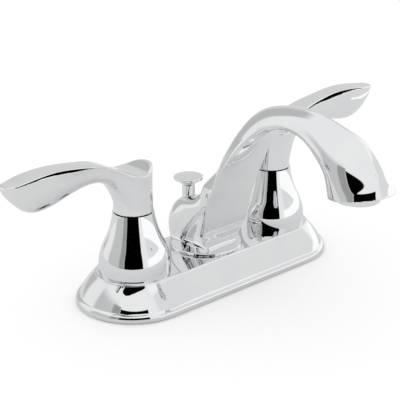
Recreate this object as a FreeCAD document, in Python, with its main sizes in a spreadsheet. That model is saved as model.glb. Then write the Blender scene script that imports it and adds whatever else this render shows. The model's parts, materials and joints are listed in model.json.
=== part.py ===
import FreeCAD, Part
import math
import os

import Sketcher
from FreeCAD import Placement, Rotation, Vector

# Two-handle centerset bathroom faucet on a 4 inch base, with a lift rod for the drain.
# Units are millimetres. The origin is the centre of the base on the deck plane, +Z is up,
# +X runs to the user's right along the base and -Y points to the user.

doc = FreeCAD.newDocument("centerset_faucet")

# Driving dimensions
SIZES = {
    # base and deck
    "valve_spacing": 101.6,
    "base_end_radius": 31.7,
    "base_bead_inset": 2.0,
    "base_slope_run": 8.4,
    "base_bead_height": 5.2,
    "base_rim_height": 2.4,
    "base_bead_round": 3.6,
    "base_slope_round": 46.0,
    "base_edge_drop": 0.9,
    "base_height": 17.4,
    "base_wall": 2.2,
    "gasket_thickness": 1.0,
    "gasket_inset": 1.3,
    "gap": 0.3,
    "slip": 0.05,
    # bells that cover the valves
    "bell_radius": 19.1,
    "bell_skirt_height": 2.6,
    "bell_waist_radius": 16.0,
    "bell_waist_rise": 15.8,
    "bell_lower_round": 29.6,
    "bell_upper_round": 51.8,
    "bell_top_radius": 10.9,
    "bell_height": 33.0,
    "bell_wall": 1.5,
    "bell_web_rise": 12.6,
    "bell_web_thickness": 2.4,
    # valve bodies
    "shank_radius": 10.45,
    "shank_length": 50.0,
    "shank_bore_radius": 7.2,
    "valve_flange_radius": 15.5,
    "valve_flange_thickness": 3.5,
    "valve_radius": 12.2,
    "valve_neck_radius": 9.2,
    "valve_neck_height": 8.0,
    "chamber_radius": 7.3,
    "seat_height": 3.0,
    "seat_thickness": 4.0,
    "seat_port_radius": 3.4,
    # cartridges
    "seal_thickness": 1.4,
    "disc_radius": 6.4,
    "disc_thickness": 2.2,
    "disc_port_width": 5.0,
    "disc_port_depth": 4.0,
    "disc_port_offset": 2.9,
    "cartridge_bore_radius": 6.5,
    "cartridge_collar_radius": 8.8,
    "cartridge_collar_height": 1.6,
    "cartridge_window_width": 7.0,
    "cartridge_window_height": 4.0,
    "stem_radius": 3.9,
    "stem_foot_radius": 5.9,
    "stem_foot_height": 3.2,
    "stem_spline_radius": 4.4,
    "stem_spline_length": 9.0,
    "bonnet_corner_radius": 12.3,
    "bonnet_hex_height": 4.6,
    "bonnet_top_radius": 10.2,
    "bonnet_lip_radius": 5.6,
    "bonnet_lip_thickness": 1.8,
    # nuts and washers under the deck
    "deck_thickness": 20.0,
    "shank_washer_radius": 19.0,
    "shank_washer_thickness": 2.0,
    "mounting_nut_corner_radius": 19.5,
    "mounting_nut_height": 8.0,
    "mounting_nut_collar_radius": 14.5,
    "mounting_nut_collar_height": 3.0,
    # waterways
    "tube_radius": 4.2,
    "tube_wall": 0.8,
    "tube_height": 9.5,
    "tube_offset": -4.0,
    "tube_socket_depth": 4.0,
    "tube_valve_reach": 3.9,
    "nipple_offset": -7.5,
    "nipple_radius": 5.5,
    "nipple_wall": 1.5,
    "nipple_top": 28.0,
    "tee_radius": 8.6,
    "tee_arm_radius": 5.0,
    "tee_half_length": 15.0,
    "nipple_nut_corner_radius": 8.6,
    "nipple_nut_height": 3.4,
    "seal_ring_radius": 0.9,
    # spout
    "spout_reach": 107.0,
    "spout_rise": 81.6,
    "spout_width": 34.0,
    "spout_thickness": 12.5,
    "foot_radius": 20.2,
    "foot_lip_height": 1.8,
    "foot_skirt_radius": 13.4,
    "foot_skirt_height": 4.6,
    "waterway_radius": 4.0,
    "boss_radius": 11.4,
    "boss_height": 24.6,
    # aerator
    "aerator_radius": 10.9,
    "aerator_height": 8.6,
    "aerator_drop": 72.9,
    "aerator_wall": 1.4,
    "aerator_lip": 1.2,
    "aerator_thread_radius": 9.7,
    "aerator_thread_length": 5.0,
    "aerator_washer_thickness": 1.6,
    "aerator_jet_radius": 0.9,
    "aerator_jet_circle": 4.9,
    "aerator_insert_wall": 1.5,
    # lift rod
    "rod_offset": 13.9,
    "rod_radius": 2.4,
    "rod_length": 118.0,
    "knob_radius": 8.2,
    "knob_rim": 1.5,
    "knob_crown": 0.9,
    "knob_neck_radius": 3.6,
    "knob_neck_length": 12.0,
    "knob_flare": 3.4,
    "knob_top": 53.9,
    "guide_length": 12.0,
    # levers
    "lever_length": 79.7,
    "lever_width": 17.8,
    "lever_depth": 19.0,
    "lever_rise": 12.9,
    "hub_height": 21.6,
    "hub_radius": 10.6,
    "hub_waist": 0.35,
    "hub_bore_radius": 8.4,
    "hub_bore_depth": 5.5,
    "set_screw_radius": 2.5,
    "set_screw_height": 60.5,
    "set_screw_length": 4.6,
    "set_screw_socket_radius": 1.25,
}

sheet = doc.addObject("Spreadsheet::Sheet", "Sizes")
for row, (alias, number) in enumerate(SIZES.items(), start=1):
    sheet.set(f"A{row}", alias)
    sheet.set(f"B{row}", str(number))
    sheet.setAlias(f"B{row}", alias)
doc.recompute()


class Size:
    """A length that knows both its value and the sheet expression it comes from."""

    def __init__(self, number, text):
        self.number = number
        self.text = text

    def joined(self, other, sign, number):
        return Size(number, f"({self.text} {sign} {as_size(other).text})")

    def __add__(self, other):
        return self.joined(other, "+", self.number + as_size(other).number)

    def __sub__(self, other):
        return self.joined(other, "-", self.number - as_size(other).number)

    def __mul__(self, other):
        return self.joined(other, "*", self.number * as_size(other).number)

    def __truediv__(self, other):
        return self.joined(other, "/", self.number / as_size(other).number)

    def __neg__(self):
        return Size(-self.number, f"(0 - {self.text})")


def as_size(thing):
    return thing if isinstance(thing, Size) else Size(float(thing), repr(float(thing)))


class Named:
    """The sheet's cells as Size values, read by their alias."""

    def __getattr__(self, alias):
        return Size(float(sheet.get(alias)), f"Sizes.{alias}")


d = Named()
ZERO = as_size(0)

# Sizes that follow from the driving ones
valve_x = d.valve_spacing / 2
deck_top = d.base_height
base_bead_radius = d.base_end_radius - d.base_bead_inset
base_plateau_radius = base_bead_radius - d.base_slope_run
cover_inside = d.base_height - d.base_wall
web_z = deck_top + d.bell_web_rise
neck_z = web_z - d.slip
neck_top = neck_z + d.valve_neck_height
flange_top = d.gasket_thickness + d.valve_flange_thickness
seat_z = d.seat_height
seal_top = seat_z + d.seal_thickness
fixed_top = seal_top + d.disc_thickness
rotor_z = fixed_top + d.slip
rotor_top = rotor_z + d.disc_thickness
stem_z = rotor_top
stem_foot_top = stem_z + d.stem_foot_height
collar_top = neck_top + d.cartridge_collar_height
bell_top = deck_top + d.bell_height
hub_z = bell_top + d.gap
socket_z = hub_z + d.hub_bore_depth
stem_top = socket_z + d.stem_spline_length
knob_rim_z = d.knob_top - d.knob_crown - d.knob_rim
knob_neck_z = knob_rim_z - d.knob_neck_length
aerator_shoulder = d.aerator_drop + d.aerator_height
aerator_seat = aerator_shoulder + d.aerator_thread_length + d.aerator_washer_thickness


def bind(thing, **sizes):
    """Set an object's sizes and tie each one to the sheet."""
    for name, size in sizes.items():
        thing.setExpression(name.replace("_", "."), as_size(size).text)


def place(thing, x=ZERO, y=ZERO, z=ZERO):
    """Put an object at a point that follows the sheet."""
    for axis, size in (("x", x), ("y", y), ("z", z)):
        thing.setExpression(f"Placement.Base.{axis}", as_size(size).text)
    return thing


def arc_centre(start, end, radius, side):
    """Centre of the arc from start to end that lies on the left (side 1) or right (side -1)."""
    middle_x = (start[0] + end[0]) / 2
    middle_y = (start[1] + end[1]) / 2
    along_x = end[0] - start[0]
    along_y = end[1] - start[1]
    chord = math.hypot(along_x, along_y)
    rise = math.sqrt(radius * radius - chord * chord / 4)
    return middle_x - side * along_y / chord * rise, middle_y + side * along_x / chord * rise


def draw(sketch, outline):
    """Draw a closed outline of lines and arcs, with every corner tied to the sheet.

    Each entry is (across, up) for a corner reached by a straight line, or
    (across, up, radius, side) for one reached by an arc whose centre is on that side.
    """
    corners = [(as_size(entry[0]), as_size(entry[1])) for entry in outline]
    ends = []
    for index, entry in enumerate(outline):
        before = corners[index - 1]
        start = (before[0].number, before[1].number)
        end = (corners[index][0].number, corners[index][1].number)
        if len(entry) == 2:
            line = Part.LineSegment(Vector(*start, 0), Vector(*end, 0))
            number = sketch.addGeometry(line, False)
            ends.append((number, 1, 2))
            continue
        radius = as_size(entry[2])
        side = entry[3]
        centre = arc_centre(start, end, radius.number, side)
        angles = [math.atan2(point[1] - centre[1], point[0] - centre[0]) for point in (start, end)]
        if side < 0:
            angles.reverse()
        circle = Part.Circle(Vector(*centre, 0), Vector(0, 0, 1), radius.number)
        number = sketch.addGeometry(Part.ArcOfCircle(circle, *angles), False)
        ends.append((number, 1, 2) if side > 0 else (number, 2, 1))
        limit = sketch.addConstraint(Sketcher.Constraint("Radius", number, radius.number))
        sketch.setExpression(f"Constraints[{limit}]", radius.text)
    for index, (number, first, last) in enumerate(ends):
        follower, follower_first, _ = ends[(index + 1) % len(ends)]
        sketch.addConstraint(Sketcher.Constraint("Coincident", number, last, follower, follower_first))
        for kind, size in zip(("DistanceX", "DistanceY"), corners[index]):
            rule = Sketcher.Constraint(kind, -1, 1, number, last, size.number)
            limit = sketch.addConstraint(rule)
            sketch.setExpression(f"Constraints[{limit}]", size.text)


def body_plane(body, role):
    return [plane for plane in body.Origin.OriginFeatures if plane.Role == role][0]


def turned(label, outline, x=ZERO, y=ZERO, z=ZERO):
    """A piece turned about its own vertical axis from a closed outline."""
    body = doc.addObject("PartDesign::Body", label)
    sketch = body.newObject("Sketcher::SketchObject", label + "_profile")
    sketch.AttachmentSupport = (body_plane(body, "XZ_Plane"), [""])
    sketch.MapMode = "FlatFace"
    draw(sketch, outline)
    turn = body.newObject("PartDesign::Revolution", label + "_turn")
    turn.Profile = sketch
    turn.ReferenceAxis = (sketch, ["V_Axis"])
    turn.Angle = 360.0
    return place(body, x, y, z)


def cylinder(label, radius, height, x=ZERO, y=ZERO, z=ZERO, turn=None):
    rod = doc.addObject("Part::Cylinder", label)
    bind(rod, Radius=radius, Height=height)
    if turn is not None:
        rod.Placement = Placement(Vector(0, 0, 0), turn)
    return place(rod, x, y, z)


def box(label, length, width, height, x=ZERO, y=ZERO, z=ZERO):
    """A block centred on x and y that stands on z."""
    block = doc.addObject("Part::Box", label)
    bind(block, Length=length, Width=width, Height=height)
    return place(block, as_size(x) - as_size(length) / 2, as_size(y) - as_size(width) / 2, z)


def prism(label, corner_radius, height, x=ZERO, y=ZERO, z=ZERO):
    nut = doc.addObject("Part::Prism", label)
    nut.Polygon = 6
    bind(nut, Circumradius=corner_radius, Height=height)
    return place(nut, x, y, z)


def fused(label, *pieces):
    joined = doc.addObject("Part::MultiFuse", label)
    joined.Shapes = list(pieces)
    return joined


def cut(label, base, *tools):
    result = doc.addObject("Part::Cut", label)
    result.Base = base
    result.Tool = tools[0] if len(tools) == 1 else fused(label + "_tools", *tools)
    return result


def feature(label, shape):
    """A sculpted form that neither sketches nor primitives describe."""
    form = doc.addObject("Part::Feature", label)
    form.Shape = shape
    return form


ALONG_X = Rotation(Vector(0, 1, 0), 90)
ALONG_Y = Rotation(Vector(1, 0, 0), -90)
SIDES = (("hot", -1), ("cold", 1))


# Deck cover: one wall section run along the base and half round each end
def deck_cover():
    profile = doc.addObject("Sketcher::SketchObject", "cover_profile")
    profile.Placement = Placement(Vector(0, 0, 0), Rotation(Vector(0, -1, 0), Vector(0, 0, 1), Vector(-1, 0, 0), "ZXY"))
    inside = d.base_end_radius - d.base_wall
    draw(profile, [
        (ZERO, cover_inside),
        (base_plateau_radius - d.base_wall / 2, cover_inside),
        (base_bead_radius - d.base_wall, d.base_bead_height),
        (inside, d.base_rim_height),
        (inside, d.gasket_thickness),
        (d.base_end_radius, d.gasket_thickness),
        (d.base_end_radius, d.base_rim_height),
        (base_bead_radius, d.base_bead_height, d.base_bead_round, 1),
        (base_plateau_radius, deck_top - d.base_edge_drop, d.base_slope_round, 1),
        (base_plateau_radius - d.base_edge_drop, deck_top, d.base_edge_drop, 1),
        (ZERO, deck_top),
    ])
    walls = []
    for name, side in (("front", 0), ("back", 180)):
        wall = doc.addObject("Part::Extrusion", f"cover_{name}")
        wall.Base = profile
        wall.DirMode = "Custom"
        wall.Dir = Vector(1, 0, 0)
        wall.Solid = True
        bind(wall, LengthFwd=d.valve_spacing)
        wall.Placement = Placement(Vector(0, 0, 0), Rotation(Vector(0, 0, 1), side))
        walls.append(place(wall, x=-valve_x if side == 0 else valve_x))
    for name, side in (("right", 0), ("left", 180)):
        end = doc.addObject("Part::Revolution", f"cover_{name}")
        end.Source = profile
        end.Axis = Vector(0, 0, 1)
        end.Angle = 180.0
        end.Solid = True
        end.Placement = Placement(Vector(0, 0, 0), Rotation(Vector(0, 0, 1), side))
        walls.append(place(end, x=valve_x if side == 0 else -valve_x))
    shell = fused("cover_shell", *walls)
    hole_height = d.base_wall * 3
    hole_z = cover_inside - d.base_wall
    holes = [cylinder(f"cover_hole_{name}", d.valve_radius + d.gap, hole_height, x=valve_x * side, z=hole_z)
             for name, side in SIDES]
    holes.append(cylinder("cover_hole_nipple", d.nipple_radius + d.gap, hole_height, y=d.nipple_offset, z=hole_z))
    holes.append(cylinder("cover_hole_rod", d.rod_radius + d.gap, hole_height, y=d.rod_offset, z=hole_z))
    return cut("deck_cover", shell, *holes)


# Deck gasket: a flat plate under the cover's rim, with holes for the shanks and the rod
def deck_gasket():
    radius = d.base_end_radius - d.gasket_inset
    plate = [box("gasket_middle", d.valve_spacing, radius * 2, d.gasket_thickness)]
    holes = [cylinder("gasket_hole_rod", d.rod_radius + d.gap, d.gasket_thickness * 3, y=d.rod_offset,
                      z=-d.gasket_thickness)]
    for name, side in SIDES:
        plate.append(cylinder(f"gasket_end_{name}", radius, d.gasket_thickness, x=valve_x * side))
        holes.append(cylinder(f"gasket_hole_{name}", d.shank_radius + d.gap, d.gasket_thickness * 3,
                              x=valve_x * side, z=-d.gasket_thickness))
    return cut("deck_gasket", fused("gasket_plate", *plate), *holes)


# Bells: thin turned covers with an inner web that the bonnet nut clamps
def bell(name, x):
    web_top = web_z + d.bell_web_thickness
    inner = d.bell_waist_radius - d.bell_wall
    return turned(f"{name}_bell", [
        (d.bell_radius - d.bell_wall, deck_top),
        (d.bell_radius, deck_top),
        (d.bell_radius, deck_top + d.bell_skirt_height),
        (d.bell_waist_radius, deck_top + d.bell_waist_rise, d.bell_lower_round, 1),
        (d.bell_top_radius, bell_top, d.bell_upper_round, -1),
        (d.bell_top_radius - d.bell_wall, bell_top),
        (inner, deck_top + d.bell_waist_rise, d.bell_upper_round + d.bell_wall, 1),
        (inner, web_top),
        (d.valve_neck_radius + d.slip, web_top),
        (d.valve_neck_radius + d.slip, web_z),
        (inner, web_z),
    ], x=x)


# Valve bodies: shank, flange on the gasket, chamber and threaded neck in one casting
def valve_body(name, side):
    x = valve_x * side
    casting = turned(f"{name}_valve_casting", [
        (d.shank_bore_radius, -d.shank_length),
        (d.shank_radius, -d.shank_length),
        (d.shank_radius, d.gasket_thickness),
        (d.valve_flange_radius, d.gasket_thickness),
        (d.valve_flange_radius, flange_top),
        (d.valve_radius, flange_top),
        (d.valve_radius, neck_z),
        (d.valve_neck_radius, neck_z),
        (d.valve_neck_radius, neck_top),
        (d.chamber_radius, neck_top),
        (d.chamber_radius, seat_z),
        (d.seat_port_radius, seat_z),
        (d.seat_port_radius, seat_z - d.seat_thickness),
        (d.shank_bore_radius, seat_z - d.seat_thickness),
    ], x=x)
    start = x if side < 0 else x - d.valve_radius
    port = cylinder(f"{name}_valve_port", d.tube_radius, d.valve_radius, x=start, y=d.tube_offset,
                    z=d.tube_height, turn=ALONG_X)
    return cut(f"{name}_valve_body", casting, port)


# Cartridge pieces, from the seat upward
def cartridge(name, side):
    x = valve_x * side
    turned(f"{name}_seat_seal", [
        (d.seat_port_radius, seat_z),
        (d.disc_radius, seat_z),
        (d.disc_radius, seal_top),
        (d.seat_port_radius, seal_top),
    ], x=x)
    for label, low in (("fixed_disc", seal_top), ("rotating_disc", rotor_z)):
        disc = cylinder(f"{name}_{label}_blank", d.disc_radius, d.disc_thickness, x=x, z=low)
        port = box(f"{name}_{label}_port", d.disc_port_width, d.disc_port_depth, d.disc_thickness * 3,
                   x=x, y=-d.disc_port_offset, z=low - d.disc_thickness)
        cut(f"{name}_{label}", disc, port)
    sleeve = turned(f"{name}_cartridge_sleeve", [
        (d.cartridge_bore_radius, seal_top),
        (d.chamber_radius - d.slip, seal_top),
        (d.chamber_radius - d.slip, neck_top),
        (d.cartridge_collar_radius, neck_top),
        (d.cartridge_collar_radius, collar_top),
        (d.stem_radius + d.slip, collar_top),
        (d.stem_radius + d.slip, stem_foot_top + d.gap),
        (d.cartridge_bore_radius, stem_foot_top + d.gap),
    ], x=x)
    window = box(f"{name}_cartridge_window", d.chamber_radius * 3, d.cartridge_window_width,
                 d.cartridge_window_height, x=x, z=stem_z - d.gap)
    cut(f"{name}_cartridge_body", sleeve, window)
    turned(f"{name}_stem", [
        (ZERO, stem_z),
        (d.stem_foot_radius, stem_z),
        (d.stem_foot_radius, stem_foot_top),
        (d.stem_radius, stem_foot_top),
        (d.stem_radius, socket_z),
        (d.stem_spline_radius, socket_z),
        (d.stem_spline_radius, stem_top),
        (ZERO, stem_top),
    ], x=x)


# Bonnet nut: a hexagon that clamps the bell, with a lip over the cartridge collar
def bonnet_nut(name, side):
    x = valve_x * side
    low = web_z + d.bell_web_thickness
    hexagon = prism(f"{name}_bonnet_hexagon", d.bonnet_corner_radius, d.bonnet_hex_height, x=x, z=low)
    top = collar_top + d.bonnet_lip_thickness
    crown = cylinder(f"{name}_bonnet_crown", d.bonnet_top_radius, top - low, x=x, z=low)
    bore = cylinder(f"{name}_bonnet_bore", d.valve_neck_radius + d.slip, collar_top - low, x=x, z=low)
    mouth = cylinder(f"{name}_bonnet_mouth", d.bonnet_lip_radius, top, x=x, z=low)
    cut(f"{name}_bonnet_nut", fused(f"{name}_bonnet_blank", hexagon, crown), bore, mouth)


# Washer and nut that draw each shank down onto the deck
def under_deck(name, side):
    x = valve_x * side
    washer_z = -d.deck_thickness - d.shank_washer_thickness
    bore = d.shank_radius + d.slip
    turned(f"{name}_shank_washer", [
        (bore, washer_z),
        (d.shank_washer_radius, washer_z),
        (d.shank_washer_radius, -d.deck_thickness),
        (bore, -d.deck_thickness),
    ], x=x)
    nut_z = washer_z - d.mounting_nut_height
    hexagon = prism(f"{name}_nut_hexagon", d.mounting_nut_corner_radius, d.mounting_nut_height, x=x, z=nut_z)
    collar = cylinder(f"{name}_nut_collar", d.mounting_nut_collar_radius, d.mounting_nut_collar_height + d.slip,
                      x=x, z=nut_z - d.mounting_nut_collar_height)
    hole = cylinder(f"{name}_nut_hole", bore, d.mounting_nut_height * 3, x=x, z=nut_z - d.mounting_nut_height)
    cut(f"{name}_mounting_nut", fused(f"{name}_nut_blank", hexagon, collar), hole)


# Cross tubes, tee and nipple carry the mixed water to the spout
def cross_tube(name, side):
    valve_end = valve_x - d.valve_radius + d.tube_valve_reach
    tee_end = d.tee_half_length - d.tube_socket_depth
    length = valve_end - tee_end
    start = tee_end if side > 0 else -valve_end
    outer = cylinder(f"{name}_tube_outer", d.tube_radius - d.slip, length, x=start, y=d.tube_offset,
                     z=d.tube_height, turn=ALONG_X)
    inner = cylinder(f"{name}_tube_inner", d.tube_radius - d.tube_wall, length, x=start, y=d.tube_offset,
                     z=d.tube_height, turn=ALONG_X)
    cut(f"{name}_cross_tube", outer, inner)


def waterway_tee():
    low = d.tube_height - d.tee_arm_radius
    height = cover_inside - low - d.gap
    hub = cylinder("tee_hub", d.tee_radius, height, y=d.nipple_offset, z=low)
    arm = cylinder("tee_arm", d.tee_arm_radius, d.tee_half_length * 2, x=-d.tee_half_length,
                   y=d.tube_offset, z=d.tube_height, turn=ALONG_X)
    bore = cylinder("tee_bore", d.nipple_radius + d.slip, height * 3, y=d.nipple_offset, z=low - height)
    run = cylinder("tee_run", d.tube_radius - d.tube_wall, d.tee_half_length * 2, x=-d.tee_half_length,
                   y=d.tube_offset, z=d.tube_height, turn=ALONG_X)
    sockets = []
    for name, side in SIDES:
        start = -d.tee_half_length if side < 0 else d.tee_half_length - d.tube_socket_depth
        sockets.append(cylinder(f"tee_socket_{name}", d.tube_radius, d.tube_socket_depth, x=start,
                                y=d.tube_offset, z=d.tube_height, turn=ALONG_X))
    cut("waterway_tee", fused("tee_blank", hub, arm), bore, run, *sockets)


def spout_nipple():
    nut_z = d.gasket_thickness + d.slip
    nut_top = nut_z + d.nipple_nut_height
    pipe = turned("nipple_pipe", [
        (d.nipple_radius - d.nipple_wall, nut_z + d.nipple_wall),
        (d.nipple_radius, nut_z + d.nipple_wall),
        (d.nipple_radius, d.nipple_top),
        (d.nipple_radius - d.nipple_wall, d.nipple_top),
    ], y=d.nipple_offset)
    window = cylinder("nipple_window", d.tube_radius - d.tube_wall, d.nipple_radius * 3,
                      x=-d.nipple_radius * 1.5, y=d.nipple_offset, z=d.tube_height, turn=ALONG_X)
    cut("spout_nipple", pipe, window)
    cap = prism("nipple_nut_blank", d.nipple_nut_corner_radius, d.nipple_nut_height - d.gap,
                y=d.nipple_offset, z=nut_z)
    bore = cylinder("nipple_nut_bore", d.nipple_radius + d.slip, nut_top, y=d.nipple_offset,
                    z=nut_z + d.nipple_wall)
    cut("spout_retaining_nut", cap, bore)
    seal = doc.addObject("Part::Torus", "spout_seal")
    bind(seal, Radius1=d.nipple_radius + d.slip + d.seal_ring_radius, Radius2=d.seal_ring_radius)
    place(seal, y=d.nipple_offset, z=deck_top + d.seal_ring_radius)


# Spout: sections along the inner face of the arch. Each station gives the distance from the
# deck's centre as a share of the reach, the height as a share of the rise, the widths of the
# inner face and of the back as shares of the full width, then as shares of the thickness the
# depth of the shoulder and of the ridge and the bulges of the inner face and of the sides.
# Low down the inner face is a tongue, and hollow sides run from it back to the hood.
SPOUT_STATIONS = [
    (-0.156, 0.000, 0.300, 0.61, 2.12, 2.22, 0.00, 0.00),
    (-0.149, 0.023, 0.510, 0.61, 1.98, 2.08, 0.00, -0.08),
    (-0.135, 0.052, 0.680, 0.61, 1.80, 1.92, 0.00, -0.18),
    (-0.126, 0.090, 0.815, 0.61, 1.62, 1.75, 0.00, -0.28),
    (-0.131, 0.135, 0.920, 0.61, 1.45, 1.60, 0.00, -0.36),
    (-0.145, 0.191, 0.965, 0.61, 1.26, 1.45, 0.00, -0.34),
    (-0.173, 0.326, 1.000, 0.60, 0.78, 1.10, 0.00, -0.14),
    (-0.215, 0.485, 0.980, 0.56, 0.54, 0.94, 0.00, 0.08),
    (-0.276, 0.651, 0.950, 0.53, 0.52, 0.90, 0.00, 0.10),
    (-0.360, 0.810, 0.780, 0.50, 0.53, 0.86, 0.00, 0.08),
    (-0.463, 0.936, 0.610, 0.47, 0.54, 0.85, 0.00, 0.08),
    (-0.584, 1.000, 0.540, 0.46, 0.56, 0.83, 0.04, 0.10),
    (-0.720, 0.995, 0.580, 0.50, 0.64, 1.00, 0.12, 0.14),
    (-0.827, 0.919, 0.660, 0.62, 0.85, 1.36, 0.22, 0.20),
    (-0.893, 0.828, 0.720, 0.74, 1.16, 1.80, 0.32, 0.24),
    (-0.925, 0.713, 0.765, 0.74, 1.44, 2.06, 0.40, 0.24),
]
LEVEL_STATIONS = 6
WATERWAY_STATIONS = slice(7, 14)
OUTLET_TILT = 0.17

# Hood: the body behind the foot that carries the lift rod and runs up into the back of the
# arch. Each station gives the height as a share of the boss height, then from the rod's axis,
# as shares of the boss radius, the front, where the sides turn, the back and the half width.
HOOD_STATIONS = [
    (0.000, -0.38, -0.20, 0.60, 0.93),
    (0.070, -0.44, -0.10, 0.80, 0.97),
    (0.180, -0.52, -0.03, 0.95, 1.00),
    (0.310, -0.62, 0.00, 1.00, 1.00),
    (0.510, -0.94, -0.12, 0.96, 1.00),
    (0.715, -1.33, -0.52, 0.80, 0.98),
    (0.880, -1.68, -1.04, 0.50, 0.965),
    (0.970, -1.89, -1.35, 0.10, 0.95),
    (1.040, -2.04, -1.66, -0.52, 0.93),
    (1.160, -2.27, -1.96, -0.99, 0.90),
    (1.325, -2.52, -2.27, -1.39, 0.88),
    (1.570, -2.77, -2.58, -1.87, 0.84),
    (1.810, -3.02, -2.85, -2.29, 0.79),
    (2.060, -3.25, -3.10, -2.71, 0.66),
]
HOOD_STEPS = 8


def spline_edge(points, *ends):
    """A smooth edge through the points, with set directions at its two ends if they are given."""
    curve = Part.BSplineCurve()
    if ends:
        curve.interpolate(points, InitialTangent=ends[0], FinalTangent=ends[1])
    else:
        curve.interpolate(points)
    return curve.toShape()


def station_points():
    """Station positions on the plane of symmetry, and the outward direction at each."""
    path = [Vector(0, s[0] * d.spout_reach.number, deck_top.number + s[1] * d.spout_rise.number)
            for s in SPOUT_STATIONS]
    outward = [Vector(0, 1, 0)] * LEVEL_STATIONS
    for before, after in zip(path[LEVEL_STATIONS - 1:], path[LEVEL_STATIONS + 1:]):
        ahead = after - before
        outward.append(Vector(0, ahead.z, -ahead.y).normalize())
    outward.append(Vector(0, -1, OUTLET_TILT).normalize())
    return path, outward


def spout_section(station, here, out):
    """Closed wire of the inner face, two sides and the rounded back."""
    half_inner, half_back = (share * d.spout_width.number / 2 for share in station[2:4])
    shoulder, ridge, inner_bulge, side_bulge = (share * d.spout_thickness.number for share in station[4:])

    def point(across, depth):
        return here + out * depth + Vector(across, 0, 0)

    def side(share, sign):
        across = half_inner + (half_back - half_inner) * share + side_bulge * 4 * share * (1 - share)
        return point(sign * across, shoulder * share)

    def back(share):
        return point(half_back * share, shoulder + (ridge - shoulder) * (1 - share * share))

    def front(share):
        return point(half_inner * share, -inner_bulge * (1 - share * share))

    inner_edge = spline_edge([front(share) for share in (-1, -0.5, 0, 0.5, 1)])
    right_edge = spline_edge([side(share, 1) for share in (0, 0.25, 0.5, 0.75, 1)])
    back_edge = spline_edge([back(share) for share in (1, 0.5, 0, -0.5, -1)])
    left_edge = spline_edge([side(share, -1) for share in (1, 0.75, 0.5, 0.25, 0)])
    return Part.Wire([inner_edge, right_edge, back_edge, left_edge])


def hood_section(station):
    """Closed level wire with a straight front, straight sides and a rounded back."""
    z = deck_top.number + station[0] * d.boss_height.number
    front, turn, back = (d.rod_offset.number + share * d.boss_radius.number for share in station[1:4])
    half = station[4] * d.boss_radius.number
    angles = [math.pi * step / HOOD_STEPS for step in range(HOOD_STEPS + 1)]
    round_back = [Vector(half * math.cos(angle), turn + (back - turn) * math.sin(angle), z) for angle in angles]
    corners = [Vector(-half, front, z), Vector(half, front, z)]
    return Part.Wire([Part.makeLine(corners[0], corners[1]), Part.makeLine(corners[1], round_back[0]),
                      spline_edge(round_back, Vector(0, 1, 0), Vector(0, -1, 0)),
                      Part.makeLine(round_back[-1], corners[0])])


def spout():
    path, outward = station_points()
    sections = [spout_section(*entry) for entry in zip(SPOUT_STATIONS, path, outward)]
    arch = feature("spout_arch", Part.makeLoft(sections, True, False))
    hood = feature("spout_hood", Part.makeLoft([hood_section(station) for station in HOOD_STATIONS], True, False))
    foot = turned("spout_foot", [
        (ZERO, deck_top),
        (d.foot_radius, deck_top),
        (d.foot_radius, deck_top + d.foot_lip_height),
        (d.foot_skirt_radius, deck_top + d.foot_skirt_height, d.foot_radius - d.foot_skirt_radius, -1),
        (ZERO, deck_top + d.foot_skirt_height),
    ])
    nipple_bore = cylinder("spout_nipple_bore", d.nipple_radius + d.slip, d.nipple_top - deck_top + d.gap,
                           y=d.nipple_offset, z=deck_top - d.gap)
    seal_recess = cylinder("spout_seal_recess", d.nipple_radius + d.seal_ring_radius * 2 + d.gap,
                           d.seal_ring_radius * 2 + d.gap, y=d.nipple_offset, z=deck_top - d.gap)
    rod_bore = cylinder("spout_rod_bore", d.knob_neck_radius + d.gap, d.boss_height * 2, y=d.rod_offset,
                        z=deck_top - d.boss_height / 2)
    outlet = cylinder("spout_outlet_recess", d.aerator_radius + d.slip * 2, d.aerator_height + d.slip,
                      y=-d.spout_reach, z=d.aerator_drop)
    thread = cylinder("spout_outlet_thread", d.aerator_thread_radius + d.slip, aerator_seat - d.aerator_drop,
                      y=-d.spout_reach, z=d.aerator_drop)
    water = feature("spout_waterway", waterway(path, outward))
    cut("spout", fused("spout_casting", arch, hood, foot), nipple_bore, seal_recess, rod_bore, outlet, thread,
        water)


def waterway(path, outward):
    """The cored passage along the middle of the arch, from the nipple to the aerator."""
    middle = []
    for station, here, out in list(zip(SPOUT_STATIONS, path, outward))[WATERWAY_STATIONS]:
        middle.append(here + out * (station[5] * d.spout_thickness.number / 2))
    start = Vector(0, d.nipple_offset.number, d.nipple_top.number - d.gap.number)
    end = Vector(0, -d.spout_reach.number, aerator_seat.number - d.gap.number)
    route = spline_edge([start, *middle, end])
    ring = Part.Wire([Part.makeCircle(d.waterway_radius.number, start, Vector(0, 0, 1))])
    return Part.Wire([route]).makePipeShell([ring], True, True)


# Aerator: threaded shell, jet insert and washer
AERATOR_JETS = 8


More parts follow.
